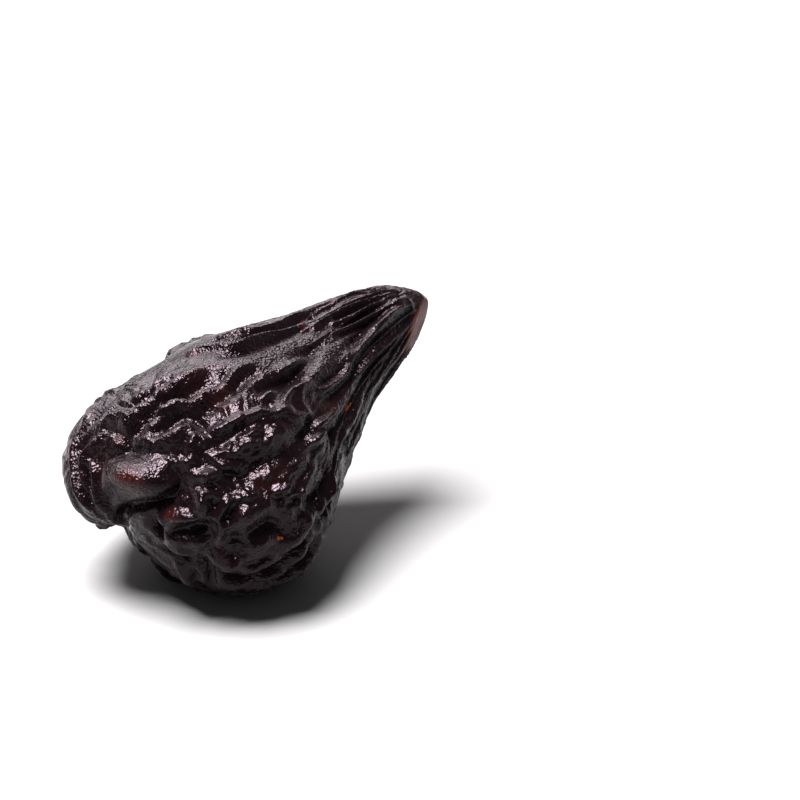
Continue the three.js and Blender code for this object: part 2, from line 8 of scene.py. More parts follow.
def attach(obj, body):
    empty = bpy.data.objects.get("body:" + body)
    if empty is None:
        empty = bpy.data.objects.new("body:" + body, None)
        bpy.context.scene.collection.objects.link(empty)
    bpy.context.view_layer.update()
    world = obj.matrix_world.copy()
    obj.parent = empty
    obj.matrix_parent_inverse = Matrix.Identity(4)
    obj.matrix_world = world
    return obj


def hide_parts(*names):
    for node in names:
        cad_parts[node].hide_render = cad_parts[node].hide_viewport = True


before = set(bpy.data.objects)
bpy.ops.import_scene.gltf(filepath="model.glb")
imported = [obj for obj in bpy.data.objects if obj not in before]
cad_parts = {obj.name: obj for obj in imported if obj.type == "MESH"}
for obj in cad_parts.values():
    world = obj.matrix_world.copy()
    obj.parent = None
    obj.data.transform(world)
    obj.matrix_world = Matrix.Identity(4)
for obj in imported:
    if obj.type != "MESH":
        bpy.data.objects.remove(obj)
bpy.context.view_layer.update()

# A dried black fig lying on a pale table. The fine skin follows the same formulas as the solid, on a mesh
# four times as close, with narrow folds left sharp and finer wrinkles laid over it.
# Fruit measures are in millimetres, as in the solid, and light and camera measures in metres.
# A place on the skin is (reach, turn): the distance over the skin from the eye in mm, and the angle round
# the axis in degrees, where 0 is +Y, 90 the top, 180 -Y and 270 the underside.
MM = 0.001

# How far the axis is raised towards the stem, how deep the flat is pressed into the belly, and how wide
# the rounding is where the flat and the cut meet the skin.
NECK_RAISE = 20
BELLY_PRESSED_IN = 2.0
BELLY_EDGE = 0.5
CUT_EDGE = 0.25

# The smooth outline from the eye to the stem, as (place along the axis, radius).
OUTLINE = [
    (3.6, 0), (3.2, 1.0), (2.5, 2.4), (2.3, 4.5), (2.6, 7.0), (3.7, 9.3), (6.0, 11.2), (9.0, 12.4),
    (13.0, 12.9), (17.0, 12.5), (20.2, 11.4), (23.3, 9.8), (26.5, 8.2), (29.6, 6.7), (32.8, 5.4),
    (36.0, 4.2), (39.0, 3.2), (41.0, 2.1), (41.8, 1.1), (42.1, 0),
]
# How far the axis bows towards one side, at places along it.
BOW = [
    (0, 0.4), (5, -0.2), (9, -0.9), (14, -1.6), (18, -1.1),
    (23, -0.2), (28, 0.6), (33, 1.1), (38, 1.1), (43, 0.3),
]
BOW_SIDE = 50
# The lobe beside the eye and the lean of the eye's face fade out over EYE_END, along the axis.
EYE_LOBE = {"side": 52, "radius": 4.4, "width": 5.0, "length": 3.0}
EYE_LEANS = {"side": 300, "slope": 0.28}
EYE_END = (4, 12)
SIDE_HOLLOW = {"along": 24, "length": 12, "side": 222, "spread": 44, "deep": 1.5, "full_radius": 8}
STEM_CUT = {"reach": 44.8, "side": 203, "faces_stem": 0.5, "faces_side": 0.87}

# Folds seen in the skin: (how high each stands, its half width, its line of places).
FOLDS = [
    # The notch at the eye, the smooth bump beside it and the creases round the bump.
    (-1.3, 0.6, [(1.2, 140), (2.8, 134), (4.4, 130), (5.4, 126)]),
    (-1.3, 0.9, [(1.6, 322), (3.2, 314), (5.0, 309)]),
    (0.7, 1.2, [(2.4, -22), (2.6, 12)]),
    (1.7, 1.4, [(8.6, 106), (9.3, 113), (10.0, 120.5), (10.8, 129)]),
    (-1.0, 0.7, [(13.2, 131), (12.8, 138), (11.2, 141), (9.5, 142), (8.3, 146), (7.6, 152), (7.4, 159)]),
    (-1.1, 0.6, [(4.4, 124), (6, 129), (7.6, 134), (9.2, 138.5), (11, 141)]),
    (-1.0, 0.8, [(9.4, 96), (11.1, 104), (12.3, 112), (13.6, 119)]),
    # Fine ridges that follow the outline down to the notch, and the grooves between them.
    (0.5, 0.4, [(12.5, 61), (10, 62), (8.7, 64), (7, 70), (5.8, 76), (4.6, 86), (3.5, 100)]),
    (0.55, 0.4, [
        (11.5, 82), (10.3, 80), (9.2, 76), (8.1, 77), (7, 82), (5.8, 90), (4.8, 98), (3.8, 112),
    ]),
    (0.55, 0.4, [(8.8, 79), (8.4, 86), (7.6, 90), (6.5, 93), (5.4, 99), (4.7, 107), (4.0, 122)]),
    (-0.4, 0.4, [(11, 71), (9, 70), (7.4, 75), (6.2, 82), (5, 91), (3.9, 106)]),
    (-0.4, 0.4, [(10.4, 86), (9, 82), (7.5, 85), (6.3, 89), (5.2, 95), (4.4, 110)]),
    (-0.4, 0.5, [(9.4, 89), (8, 95), (6.5, 99), (5.4, 106), (4.8, 118)]),
    # Lumps on the upper part of the bulb.
    (0.7, 2.4, [(9, 52), (11.5, 50), (14, 50)]),
    (0.5, 0.9, [(11.9, 75), (12.8, 80), (13.4, 84)]),
    (0.5, 0.7, [(13.2, 84), (14, 87), (15.4, 87.5)]),
    (0.8, 1.1, [(12.4, 91.5), (13.7, 93), (15, 92), (16.4, 91), (18.2, 90), (20, 91)]),
    (0.7, 0.8, [(20.2, 92), (21.2, 92.5), (22.6, 92)]),
    (0.45, 0.6, [(15.4, 80), (17.5, 83), (19.6, 84), (22, 87)]),
    (0.7, 1.0, [(13.3, 110.5), (14.2, 106.5), (15.6, 102.5), (16.6, 104)]),
    (0.8, 1.0, [(12.7, 113), (13.9, 114.5), (15.2, 115), (17, 115)]),
    (0.5, 0.6, [(12.3, 102), (12.5, 109)]),
    (0.7, 0.8, [(16.8, 101), (18.3, 102)]),
    (0.6, 0.6, [(18.3, 103.5), (18.9, 109)]),
    (0.7, 0.7, [(19.4, 107.5), (20.8, 105.5)]),
    (0.5, 0.5, [(23.4, 107), (24.6, 105.5), (26.4, 107.5)]),
    # Creases between those lumps.
    (-1.0, 0.7, [(12, 100), (13.2, 99), (14.6, 97), (16, 97), (17.5, 96), (18.9, 98)]),
    (-0.8, 0.7, [(18.4, 97.5), (20.2, 98.5), (22.4, 99.5)]),
    (-0.8, 0.6, [(14.3, 110), (16, 109.5), (17.2, 108.5)]),
    (-0.8, 0.8, [(16.6, 107), (17.7, 111), (18.1, 116), (18, 120)]),
    (-0.5, 0.5, [(14.4, 83), (16, 86.5), (17.4, 87), (19.4, 87)]),
    (-0.5, 0.6, [(11.2, 80), (12, 85), (12.2, 91), (11.6, 97)]),
    (-0.7, 0.7, [(19.8, 112), (22, 112), (24.4, 111), (26, 112)]),
    (-0.5, 0.5, [(21.6, 103), (23, 103), (24.4, 103)]),
    # Long ridges along the top of the neck, and the grooves between them.
    (0.7, 0.45, [
        (26, 77), (28.2, 77.5), (29.7, 80), (31.5, 84), (34, 83), (36.4, 79), (40.5, 77), (44, 78),
    ]),
    (0.8, 0.45, [
        (23.4, 77), (24.8, 82), (25.9, 88), (27.2, 93), (29.4, 93.5), (31.6, 93), (33.8, 94.5), (36, 94),
    ]),
    (-0.6, 0.5, [
        (26.6, 83), (28.2, 85.5), (30, 87), (31.6, 88.5), (34, 88.5), (36.5, 86), (39, 85), (41, 84),
    ]),
    (-0.5, 0.5, [(25.2, 94), (27.4, 98.5), (30, 98.5), (32.6, 97.5), (35, 98.5)]),
    (0.45, 0.45, [(38.6, 86), (41.2, 88), (44, 90), (47.5, 94)]),
    (-0.5, 0.4, [(38, 91), (41, 93), (44.5, 95), (48, 100)]),
    (0.5, 0.45, [(36.8, 102), (39, 99.5), (41, 99), (43.5, 100), (47, 104)]),
    # Slots and ridges that run together at the stem.
    (-0.6, 0.35, [(39.6, 104), (41.6, 105), (44.5, 105.5), (47.5, 109)]),
    (0.5, 0.4, [(39, 108), (41, 110), (43.5, 111), (46.5, 113)]),
    (-0.7, 0.35, [(39, 112.5), (41, 115), (43, 115.5), (46, 117)]),
    (0.5, 0.4, [(38, 116), (39.6, 119), (42, 121), (45, 121.5), (48, 123)]),
    (-0.6, 0.35, [(38.4, 120.5), (40, 123), (42.4, 125), (45.4, 126)]),
    (-1.0, 0.5, [(38.3, 136.5), (39.8, 133.5), (41.5, 131.5), (44, 128.5)]),
    (0.6, 0.6, [(41.6, 135), (43.2, 134.5), (45.4, 131.5), (48, 131)]),
    (0.8, 0.7, [(36, 144.5), (38.4, 142.7), (41, 140.7), (43.4, 139.5), (46.4, 136.5)]),
    (-0.5, 0.6, [(37.4, 149), (40.4, 147.5), (43.6, 145.5), (47, 142)]),
    (0.4, 0.6, [(38, 156), (41.5, 154), (45, 150)]),
    # Pits, furrows and ridges round the smooth side of the neck.
    (-1.0, 0.6, [(34, 122.5), (32, 125), (29.4, 125.5), (27, 122.5), (25.2, 120.5)]),
    (0.6, 0.6, [(32.6, 119.5), (30.8, 121), (28.8, 120)]),
    (-0.6, 0.5, [(35.8, 118), (33.8, 117.5), (31.4, 116.5)]),
    (0.45, 1.4, [(29.6, 132), (32, 133), (34.6, 133)]),
    (-0.5, 0.4, [(31.4, 139), (33, 142), (34.6, 143.5), (36.4, 143)]),
    (0.5, 0.4, [(31.4, 142), (33, 145), (34.6, 147), (36.4, 146.4)]),
    (-0.5, 0.6, [(30.6, 145), (32.6, 150), (35.6, 153), (38.6, 153)]),
    (0.5, 0.4, [(26.4, 132), (28.1, 130.2), (29.4, 132.5), (30.4, 135)]),
    (-0.6, 0.6, [(25.4, 128.5), (27.4, 127), (29.4, 128.5)]),
    (0.5, 0.4, [(24.6, 124), (26.4, 124.5)]),
    # Thin ridges of the net over the middle of the bulb.
    (0.6, 0.4, [(18.6, 122.8), (20.1, 124.2), (21.6, 124.8), (22.4, 127), (23.6, 128.5), (24.3, 132)]),
    (0.6, 0.5, [(24.2, 133), (25.4, 134.5), (26.2, 137)]),
    (0.5, 0.4, [(25.6, 138.5), (26.4, 141.7), (28, 144.7)]),
    (0.6, 0.4, [(15.5, 125), (16.1, 123.5), (16.9, 122), (17.4, 123.3), (17.1, 126.5)]),
    (0.6, 0.4, [(18.9, 132.5), (18.4, 135.5), (19.2, 136.2), (20.2, 135), (21, 137), (21.8, 140)]),
    (0.5, 0.4, [(20.4, 131.5), (22, 133.5)]),
    (0.5, 0.6, [(22.8, 139.5), (24.6, 142)]),
    (0.6, 0.5, [(14.5, 136.3), (15.2, 139.3), (16, 139.8), (17.2, 140)]),
    (0.5, 0.4, [(15.2, 139.5), (14.7, 144)]),
    (0.5, 0.5, [(14, 129.5), (15.2, 129.5)]),
    (0.7, 0.4, [
        (18.2, 156), (17, 154.7), (16, 153.7), (15.2, 155.2), (14.4, 157.7), (14, 160), (14.2, 163.3),
    ]),
    (0.6, 0.4, [(14.2, 163), (13.6, 168), (13, 173)]),
    (0.6, 0.4, [(19.6, 158.3), (20.8, 160), (22, 161)]),
    (0.5, 0.4, [(20, 166), (21, 164.5), (22, 166), (22.8, 168)]),
    (0.5, 0.4, [(22.8, 167), (21.6, 170.5)]),
    (0.5, 0.4, [(23.4, 155.7), (25, 159)]),
    (0.5, 0.4, [(23.4, 166.5), (24.4, 165.3), (26.2, 166)]),
    (0.6, 0.4, [(26.2, 155.3), (27.5, 157.5), (28.8, 158.7)]),
    (0.6, 0.4, [(28.2, 152.7), (30, 156), (32, 158.2)]),
    (-0.6, 0.6, [(17.6, 129), (19.6, 129.5), (21.4, 129)]),
    (-0.7, 0.8, [(16.4, 145), (18.4, 147), (20.4, 146), (22.6, 148)]),
    (-0.6, 0.7, [(24.4, 149), (26.4, 151), (29, 149)]),
    (-0.6, 0.6, [(12.6, 143), (13, 146.5), (12.2, 150)]),
    # Lumps low on the bulb.
    (0.8, 0.7, [(15, 148.5), (14, 147.5), (13.4, 152.5)]),
    (0.9, 0.8, [(9.6, 150.5), (10.8, 153.5), (12, 155), (13.1, 156)]),
    (0.5, 0.6, [(8.3, 144), (8.8, 150), (9.4, 156.5)]),
    (1.0, 1.1, [(15.8, 164), (17.3, 163)]),
    (0.8, 0.8, [(15.4, 178.5), (16.5, 177.7), (17.5, 179)]),
    (0.8, 1.3, [(7.7, 166), (9.6, 168), (11.6, 169)]),
    (0.5, 0.5, [(8.6, 173), (9.8, 176), (10.8, 180)]),
    (0.9, 1.3, [(11.8, 184.5), (13.8, 189), (16, 190), (18.3, 187), (20.6, 183)]),
    (0.6, 0.8, [(18.4, 162), (19.2, 163)]),
    # Creases between them, and slanting folds at the foot of the bulb.
    (-0.8, 0.45, [(7.6, 156), (7.5, 160), (7.4, 166)]),
    (-0.7, 0.7, [(9, 160.5), (11, 161.5), (13, 160.5)]),
    (-0.7, 0.7, [(12.4, 166), (12.6, 172), (11.6, 178), (11, 183)]),
    (-0.8, 0.7, [(7, 178), (8, 184), (9.4, 188), (11, 189)]),
    (-0.6, 0.6, [(14.4, 172), (15, 176), (14, 181)]),
    (-0.7, 0.7, [(17, 171), (18.6, 173), (19, 179)]),
    (-0.8, 0.6, [(11, 188), (11.2, 196), (11.4, 208)]),
    (-0.9, 0.6, [(11.4, 191), (12.3, 197), (14, 199.5), (16.2, 196.3), (18.3, 194), (20.7, 189.5)]),
    (0.6, 0.8, [(12.2, 206), (14.6, 205), (17, 202), (19.2, 199), (21.4, 194)]),
    (-0.8, 0.6, [(14, 211), (16.4, 207.5), (18.6, 206), (21, 202), (23, 196)]),
    (0.6, 0.8, [(14.4, 217), (17.4, 212), (20, 210), (22.6, 204)]),
    (0.5, 0.6, [(8, 196), (8.6, 206), (9.4, 218)]),
    (-0.5, 0.5, [(9.2, 196), (9.8, 206), (10.4, 218)]),
    # Upright folds on the side under the neck.
    (-0.5, 0.6, [(21.6, 174), (23.6, 177), (26, 178)]),
    (0.5, 0.7, [(22, 181), (24.4, 184), (27, 184)]),
    (-0.5, 0.5, [(23.4, 188), (25.6, 190), (28, 190)]),
    (0.6, 0.9, [(26.4, 186), (27.8, 187.5), (30, 187)]),
    (0.45, 0.6, [(29, 172), (32, 175), (36, 176)]),
    (-0.45, 0.6, [(30, 165), (33, 168), (37, 167), (41, 164)]),
    (-0.45, 0.6, [(31, 182), (34, 184), (38, 182)]),
]
# Each fold's height follows this part of a half wave, rounded by a power, and its sides end this many half
# widths out.
FOLD_ARCH = (0.12, 0.88)
FOLD_ARCH_POWER = 0.6
FOLD_REACHES_OUT = 3

# The folds of the sides that the fruit turns away. Spans of turn, slant and kink are in degrees.
HIDDEN_FOLDS = {
    "seed": 20, "count": 64, "turns": (240, 396), "reaches": (5, 44), "crowding": 1.3,
    "lengths": (2.5, 6.5), "stretch": (0.7, 1.5), "stretch_reaches": (16, 34),
    "slants": (-9, 9), "straighter": 0.6, "straighter_reaches": (20, 36), "kinks": (-5, 5),
    "lump_share": 0.35, "lump_high": 0.5, "lump_widths": (1.1, 1.7), "last_lump_reach": 30,
    "lump_and_furrow_share": 0.68, "furrow_high": -0.55, "ridge_high": 0.45, "widths": (0.5, 0.8),
}

# Patterns over the whole skin: (size of one wave, height, seed).
SWELL = (13, 0.2, 3)
NET = (5.6, 0.2, 7)
LUMPS = (7.0, 0.5, 12)
SMALL_LUMPS = (4.0, 0.2, 21)
WARP = (8.0, 1.1, 31)
# Finer ones that only this skin has.
FINE_LUMPS = (2.1, 0.05, 5)
FINEST_LUMPS = (1.1, 0.02, 9)

# About its mean is taken off each pattern, so that the fruit keeps its size.
NET_WIDTH = 0.4
NET_MEAN = 0.27
CREASE_ROUND = 0.12
LUMP_TOP = 1.4
LUMP_MEAN = 0.75
EYE_FOLD_COUNT = 17
EYE_FOLD_HIGH = 0.3
EYE_FOLD_MEAN = 0.64
EYE_FOLD_SWAY = {"waves": 3, "size": 0.5}
NECK_RIDGE_COUNTS = (8, 13, 19)
NECK_RIDGE_LEAN = 0.16
NECK_RIDGE_HIGH = 0.4
NECK_RIDGE_MEAN = 0.6
FOLDS_MEAN = 0.1

# Where the patterns show: spans of reach over which one comes or goes, and sides where one is stronger.
NECK_COMES = (25, 36)
NECK_GOES = (46, 50)
BULB_GOES = (26, 38)
EYE_FOLDS_COME = (0.8, 3)
EYE_FOLDS_GO = (6, 11)
FINE_COMES = (0.5, 3)
FINE_GOES = (50, 52)
LUMPY_TOP = {"reach": 14, "length": 7, "side": 90, "spread": 50}
LUMPY_BELOW = {"side": 290, "spread": 60}
LUMPS_ELSEWHERE = 0.6
FINEST_ON_SMOOTH = 0.4
SEEN_SIDE = {"side": 120, "spread": 75, "calmer": 0.15}
# Places with weaker patterns: (place, how far it spreads in mm, how much weaker).
SMOOTH_PATCHES = [
    ((9.8, 113), 3.4, 0.95), ((11.5, 123), 2.6, 0.9), ((6.5, 128), 3.0, 0.8), ((34.5, 131), 4.5, 0.75),
    ((7, 80), 5.0, 0.8), ((27, 108), 4.5, 0.7), ((24, 56), 6.0, 0.8), ((31, 66), 4.0, 0.6),
    ((25, 87), 4.0, 0.75), ((19.5, 70), 3.5, 0.7), ((30.5, 99), 3.5, 0.6),
    ((12, 236), 5.0, 0.6), ((20, 234), 5.0, 0.6), ((3, 190), 4.0, 0.6),
]

# Marks on the skin: (place, how far it spreads in mm, strength).
SHEEN_MARKS = [
    ((9.6, 118), 2.6, 0.75), ((34.5, 131), 4.0, 1.0), ((30.5, 109), 3.5, 0.9), ((26.5, 106), 3.0, 0.9),
    ((38.5, 134), 3.0, 0.9), ((27, 92), 3.5, 0.9), ((14, 95), 3.0, 0.6), ((12.5, 80), 3.0, 0.6),
    ((6, 90), 3.0, 0.6), ((20, 97), 3.0, 0.5),
]
RED_MARKS = [
    ((9.4, 122), 2.0, 0.95), ((10.3, 151), 1.2, 0.75), ((16.6, 167), 1.1, 0.65), ((36, 92), 0.9, 0.85),
    ((11.6, 93), 1.0, 0.6), ((23.4, 80), 0.9, 0.7),
]
SCAR_MARKS = [
    ((7.4, 250), 0.9, 1.0), ((7.2, 245), 0.6, 0.9), ((18.4, 180), 0.3, 0.85), ((18.7, 180.8), 0.2, 0.7),
    ((33.8, 167), 0.5, 0.9), ((34.5, 168.5), 0.3, 0.8), ((31, 162), 0.4, 0.6),
]
CUT_SHOWS = (-0.25, 0.1)  # mm beyond the plane of the cut

# The skin's colours.
DARK_SKIN = (0.0017, 0.0006, 0.0008)
RED_SKIN = (0.0055, 0.0012, 0.0010)
BRIGHT_RED_SKIN = (0.022, 0.0032, 0.0018)
DUST = (0.10, 0.065, 0.045)
SCAR = (0.16, 0.04, 0.008)
CUT_FLESH = (0.09, 0.010, 0.003)
CUT_SHADE = (0.03, 0.004, 0.002)

# Noise over the skin as (scale per metre, detail, roughness), and the span of its values over which a
# colour or the gloss changes.
PATCHES = (170, 3, 0.55)
PATCHES_COME = (0.54, 0.74)
MOTTLE = (1500, 3, 0.6)
RED_COMES = (0.16, 0.56)
SCAR_COMES = (0.22, 0.42)
FIBRES = (900, 3, 0.6)
FIBRES_COME = (0.4, 0.65)
DUST_SCALE = 1100
DUST_COMES = (0.07, 0.03)
SHINE = (700, 5, 0.65)
SHINE_DULLS = (0.38, 0.64)
GRAIN = (3900, 1, 0.4)
PORES = (1300, 2, 0.5)

# The skin's gloss, and the depth of its grain and pores in metres. The grain is deepest in the sheen marks.
SKIN_ROUGHNESS = (0.15, 0.29)
CUT_ROUGHER = 0.3
SKIN_SPECULAR = 0.15
SPECULAR_TINT = (1.0, 0.83, 0.91, 1)
SHEEN = 0.05
SHEEN_ROUGHNESS = 0.4
SHEEN_TINT = (1.0, 0.78, 0.9, 1)
SUBSURFACE = 0.03
SUBSURFACE_RADIUS = (1.0, 0.25, 0.12)
SUBSURFACE_SCALE = 0.0012
GRAIN_DEPTHS = (0.00009, 0.00024)
PORE_DEPTH = 0.0002
BUMP_STRENGTH = 0.8

# The table, the light and the camera. The aim point lands at its own pixel of the photo.
TABLE_HALF = 1.5
TABLE_COLOUR = (0.23, 0.243, 0.236, 1)
TABLE_ROUGHNESS = 0.8
TABLE_SPECULAR = 0.1
LIGHT_COLOUR = (1.0, 0.93, 0.97)
KEY = {"place": (-0.13, 0.03, 0.50), "size": (0.30, 0.30), "power": 17.0}
SHINE_CARD = {"place": (0.10, 0.43, 0.38), "size": (0.8, 0.50), "power": 8.5}
TENT_COLOUR = (1.0, 0.92, 0.97, 1)
TENT_STRENGTH = 0.16
CAMERA_AZIMUTH = math.radians(-36)
CAMERA_ELEVATION = math.radians(27)
CAMERA_DISTANCE = 0.45
CAMERA_CLIP_START = 0.01
PIXELS_PER_MM = 10.1
PICTURE_PIXELS = 800
SENSOR_MM = 36
AIM = Vector((0, 0, 12)) * MM
AIM_PIXEL_X = 268
AIM_PIXEL_Y = 448

# Steps of the mesh and of the curves.
SPHERE_STEPS = 96  # edges along each side of the icosahedron's faces
SOLID_STEPS = 24  # the same on the solid's mesh
SAME_POINT = 1e-6  # points of the unit sphere that are nearer than this are one
OUTLINE_STEPS = 800
ROUGH_STEPS = 200
FOLD_STEP = 0.15
WAVES = 40
GOLDEN_TURN = 2.399963
SEED_TURN = 0.37
RANDOM_FACTOR = 1664525
RANDOM_STEP = 1013904223
RANDOM_LIMIT = 2 ** 32


def smoothstep(x, low, high):
    t = np.clip((x - low) / (high - low), 0, 1)
    return t * t * (3 - 2 * t)


def bell(distance, width):
    return np.exp(-((distance / width) ** 2))


def between(low, high, share):
    return low + (high - low) * share


def curve_points(points, shares):
    """Points of a smooth curve through the given ones, at shares from 0 to 1."""
    table = np.asarray(points, float)
    last = len(table) - 1
    place = last * np.asarray(shares, float)
    k = np.minimum(np.floor(place).astype(int), last)
    t = (place - k)[:, None]
    before = table[np.maximum(k - 1, 0)]
    start = table[k]
    end = table[np.minimum(k + 1, last)]
    after = table[np.minimum(k + 2, last)]
    slope_in = (end - before) * 0.5
    slope_out = (after - start) * 0.5
    cubic = 2 * start - 2 * end + slope_in + slope_out
    square = -3 * start + 3 * end - 2 * slope_in - slope_out
    return ((cubic * t + square) * t + slope_in) * t + start


def spaced_points(points, steps):
    """Points at even distances along the curve, and its length."""
    shares = np.linspace(0, 1, ROUGH_STEPS + 1)
    rough = curve_points(points, shares)
    lengths = np.concatenate([[0], np.cumsum(np.linalg.norm(np.diff(rough, axis=0), axis=1))])
    even = np.linspace(0, lengths[-1], steps + 1)
    return curve_points(points, np.interp(even, lengths, shares)), lengths[-1]


# The outline and the bow at even steps, and how the skin's area adds up from step to step.
outline_steps, outline_length = spaced_points(OUTLINE, OUTLINE_STEPS)
rings = np.maximum(outline_steps[1:, 1] + outline_steps[:-1, 1], 0)
area_before = np.concatenate([[0], np.cumsum(rings)])
step_reaches = np.linspace(0, outline_length, OUTLINE_STEPS + 1)
bow_steps = curve_points(BOW, np.linspace(0, 1, OUTLINE_STEPS + 1))


def apart(turn, side):
    """The angle from a side, given in degrees, to each turn."""
    angle = turn - math.radians(side)
    return np.arctan2(np.sin(angle), np.cos(angle))


def facing(turn, patch):
    """1 on the side that a patch faces, fading away round the fruit."""
    return bell(apart(turn, patch["side"]), math.radians(patch["spread"]))


def smooth_skin(reach, turn):
    """Points of the smooth fruit, its axis along X, from reaches and angles round in radians."""
    along = np.interp(reach, step_reaches, outline_steps[:, 0])
    drawn = np.interp(reach, step_reaches, outline_steps[:, 1])
    hollow = SIDE_HOLLOW["deep"] * bell(along - SIDE_HOLLOW["along"], SIDE_HOLLOW["length"])
    hollow = hollow * facing(turn, SIDE_HOLLOW)
    radius = np.maximum(drawn, 0) - hollow * smoothstep(drawn, 0, SIDE_HOLLOW["full_radius"])
    y = radius * np.cos(turn)
    z = radius * np.sin(turn)
    lobe_side = math.radians(EYE_LOBE["side"])
    lobe_y = EYE_LOBE["radius"] * math.cos(lobe_side)
    lobe_z = EYE_LOBE["radius"] * math.sin(lobe_side)
    lobe = EYE_LOBE["length"] * bell(np.hypot(y - lobe_y, z - lobe_z), EYE_LOBE["width"])
    lean = EYE_LEANS["slope"] * np.maximum(radius * np.cos(apart(turn, EYE_LEANS["side"])), 0)
    near_eye = 1 - smoothstep(along, *EYE_END)
    bow = np.interp(along, bow_steps[:, 0], bow_steps[:, 1])
    bow_side = math.radians(BOW_SIDE)
    return np.stack([
        along + (lean - lobe) * near_eye,
        y + bow * math.cos(bow_side),
        z + bow * math.sin(bow_side),
    ], axis=1)


def skin_place(reach, turn_degrees):
    """The point of the smooth fruit at one place."""
    return smooth_skin(np.array([float(reach)]), np.array([math.radians(turn_degrees)]))[0]


def seeded_run(seed):
    """Endless random numbers from 0 to 1, the same ones for the same seed."""
    state = seed
    while True:
        state = (state * RANDOM_FACTOR + RANDOM_STEP) % RANDOM_LIMIT
        yield state / RANDOM_LIMIT


def hidden_folds():
    """Lumps, furrows and ridges for the sides that the fruit turns away, from a seeded run of numbers."""
    rule = HIDDEN_FOLDS
    run = seeded_run(rule["seed"])
    folds = []
    for _ in range(rule["count"]):
        reach = between(*rule["reaches"], next(run) ** rule["crowding"])
        turn = between(*rule["turns"], next(run))
        stretched = float(smoothstep(reach, *rule["stretch_reaches"]))
        length = between(*rule["lengths"], next(run)) * between(*rule["stretch"], stretched)
        straighter = float(smoothstep(reach, *rule["straighter_reaches"]))
        slant = between(*rule["slants"], next(run)) * (1 - rule["straighter"] * straighter)
        kink = between(*rule["kinks"], next(run))
        kind = next(run)
        width = next(run)
        if kind < rule["lump_share"] and reach < rule["last_lump_reach"]:
            high = rule["lump_high"]
            wide = between(*rule["lump_widths"], width)
        else:
            high = rule["furrow_high"] if kind < rule["lump_and_furrow_share"] else rule["ridge_high"]
            wide = between(*rule["widths"], width)
        bend = (reach + length / 2, turn + slant / 2 + kink)
        folds.append((high, wide, [(reach, turn), bend, (reach + length, turn + slant)]))
    return folds


def folds_at(spots):
    """How high the folds stand at spots of the smooth skin."""
    total = np.zeros(len(spots))
    for high, wide, line in FOLDS + hidden_folds():
        corners = np.array([skin_place(*place) for place in line])
        length = np.linalg.norm(np.diff(corners, axis=0), axis=1).sum()
        count = max(math.ceil(length / FOLD_STEP), 2)
        shares = np.linspace(0, 1, count + 1)
        places = curve_points(line, shares)
        points = smooth_skin(places[:, 0], np.radians(places[:, 1]))
        heights = high * np.sin(math.pi * between(*FOLD_ARCH, shares)) ** FOLD_ARCH_POWER
        low = points.min(axis=0) - FOLD_REACHES_OUT * wide
        top = points.max(axis=0) + FOLD_REACHES_OUT * wide
        near = np.nonzero(((spots > low) & (spots < top)).all(axis=1))[0]
        square = ((spots[near][:, None, :] - points[None]) ** 2).sum(axis=2)
        nearest = square.argmin(axis=1)
        distance = np.sqrt(square[np.arange(len(near)), nearest])
        total[near] += heights[nearest] * bell(distance, wide)
    return total


def ripple(spots, size, seed):
    """A wavy pattern over the skin: many plane waves of one length."""
    beat = 2 * math.pi / size
    i = np.arange(WAVES)
    up = 1 - (2 * i + 1) / WAVES
    level = np.sqrt(1 - up * up)
    turn = GOLDEN_TURN * (i + SEED_TURN * seed)
    directions = np.stack([up, level * np.cos(turn), level * np.sin(turn)])
    waves = np.sin(beat * (spots @ directions) + seed * (i + 1) * (i + 2))
    return waves.sum(axis=1) * math.sqrt(2 / WAVES)


def lumps_of(spots, pattern):
    """Rounded lumps parted by narrow creases."""
    size, high, seed = pattern
    wave = ripple(spots, size, seed)
    return high * (np.minimum(np.sqrt(wave * wave + CREASE_ROUND ** 2), LUMP_TOP) - LUMP_MEAN)


def eye_folds_at(turn):
    """Creases that run into the eye."""
    sway = EYE_FOLD_SWAY["size"] * np.sin(EYE_FOLD_SWAY["waves"] * turn)
    return EYE_FOLD_HIGH * (np.abs(np.sin((EYE_FOLD_COUNT / 2) * turn + sway)) - EYE_FOLD_MEAN)


def neck_ridges_at(reach, turn):
    """Ridges down the neck that lean one way and the other, so that they part and meet."""
    waves = 0
    for i, count in enumerate(NECK_RIDGE_COUNTS):
        lean = -NECK_RIDGE_LEAN if i % 2 else NECK_RIDGE_LEAN
        waves = waves + np.sin(count * turn + lean * reach + 2 * i)
    return NECK_RIDGE_HIGH * (NECK_RIDGE_MEAN - np.minimum(np.abs(waves), 1))


def near_place(spots, place, size):
    """1 at a place on the skin, fading away round it."""
    return bell(np.linalg.norm(spots - skin_place(*place), axis=1), size)


def shows(reach, comes, goes):
    return smoothstep(reach, *comes) * (1 - smoothstep(reach, *goes))


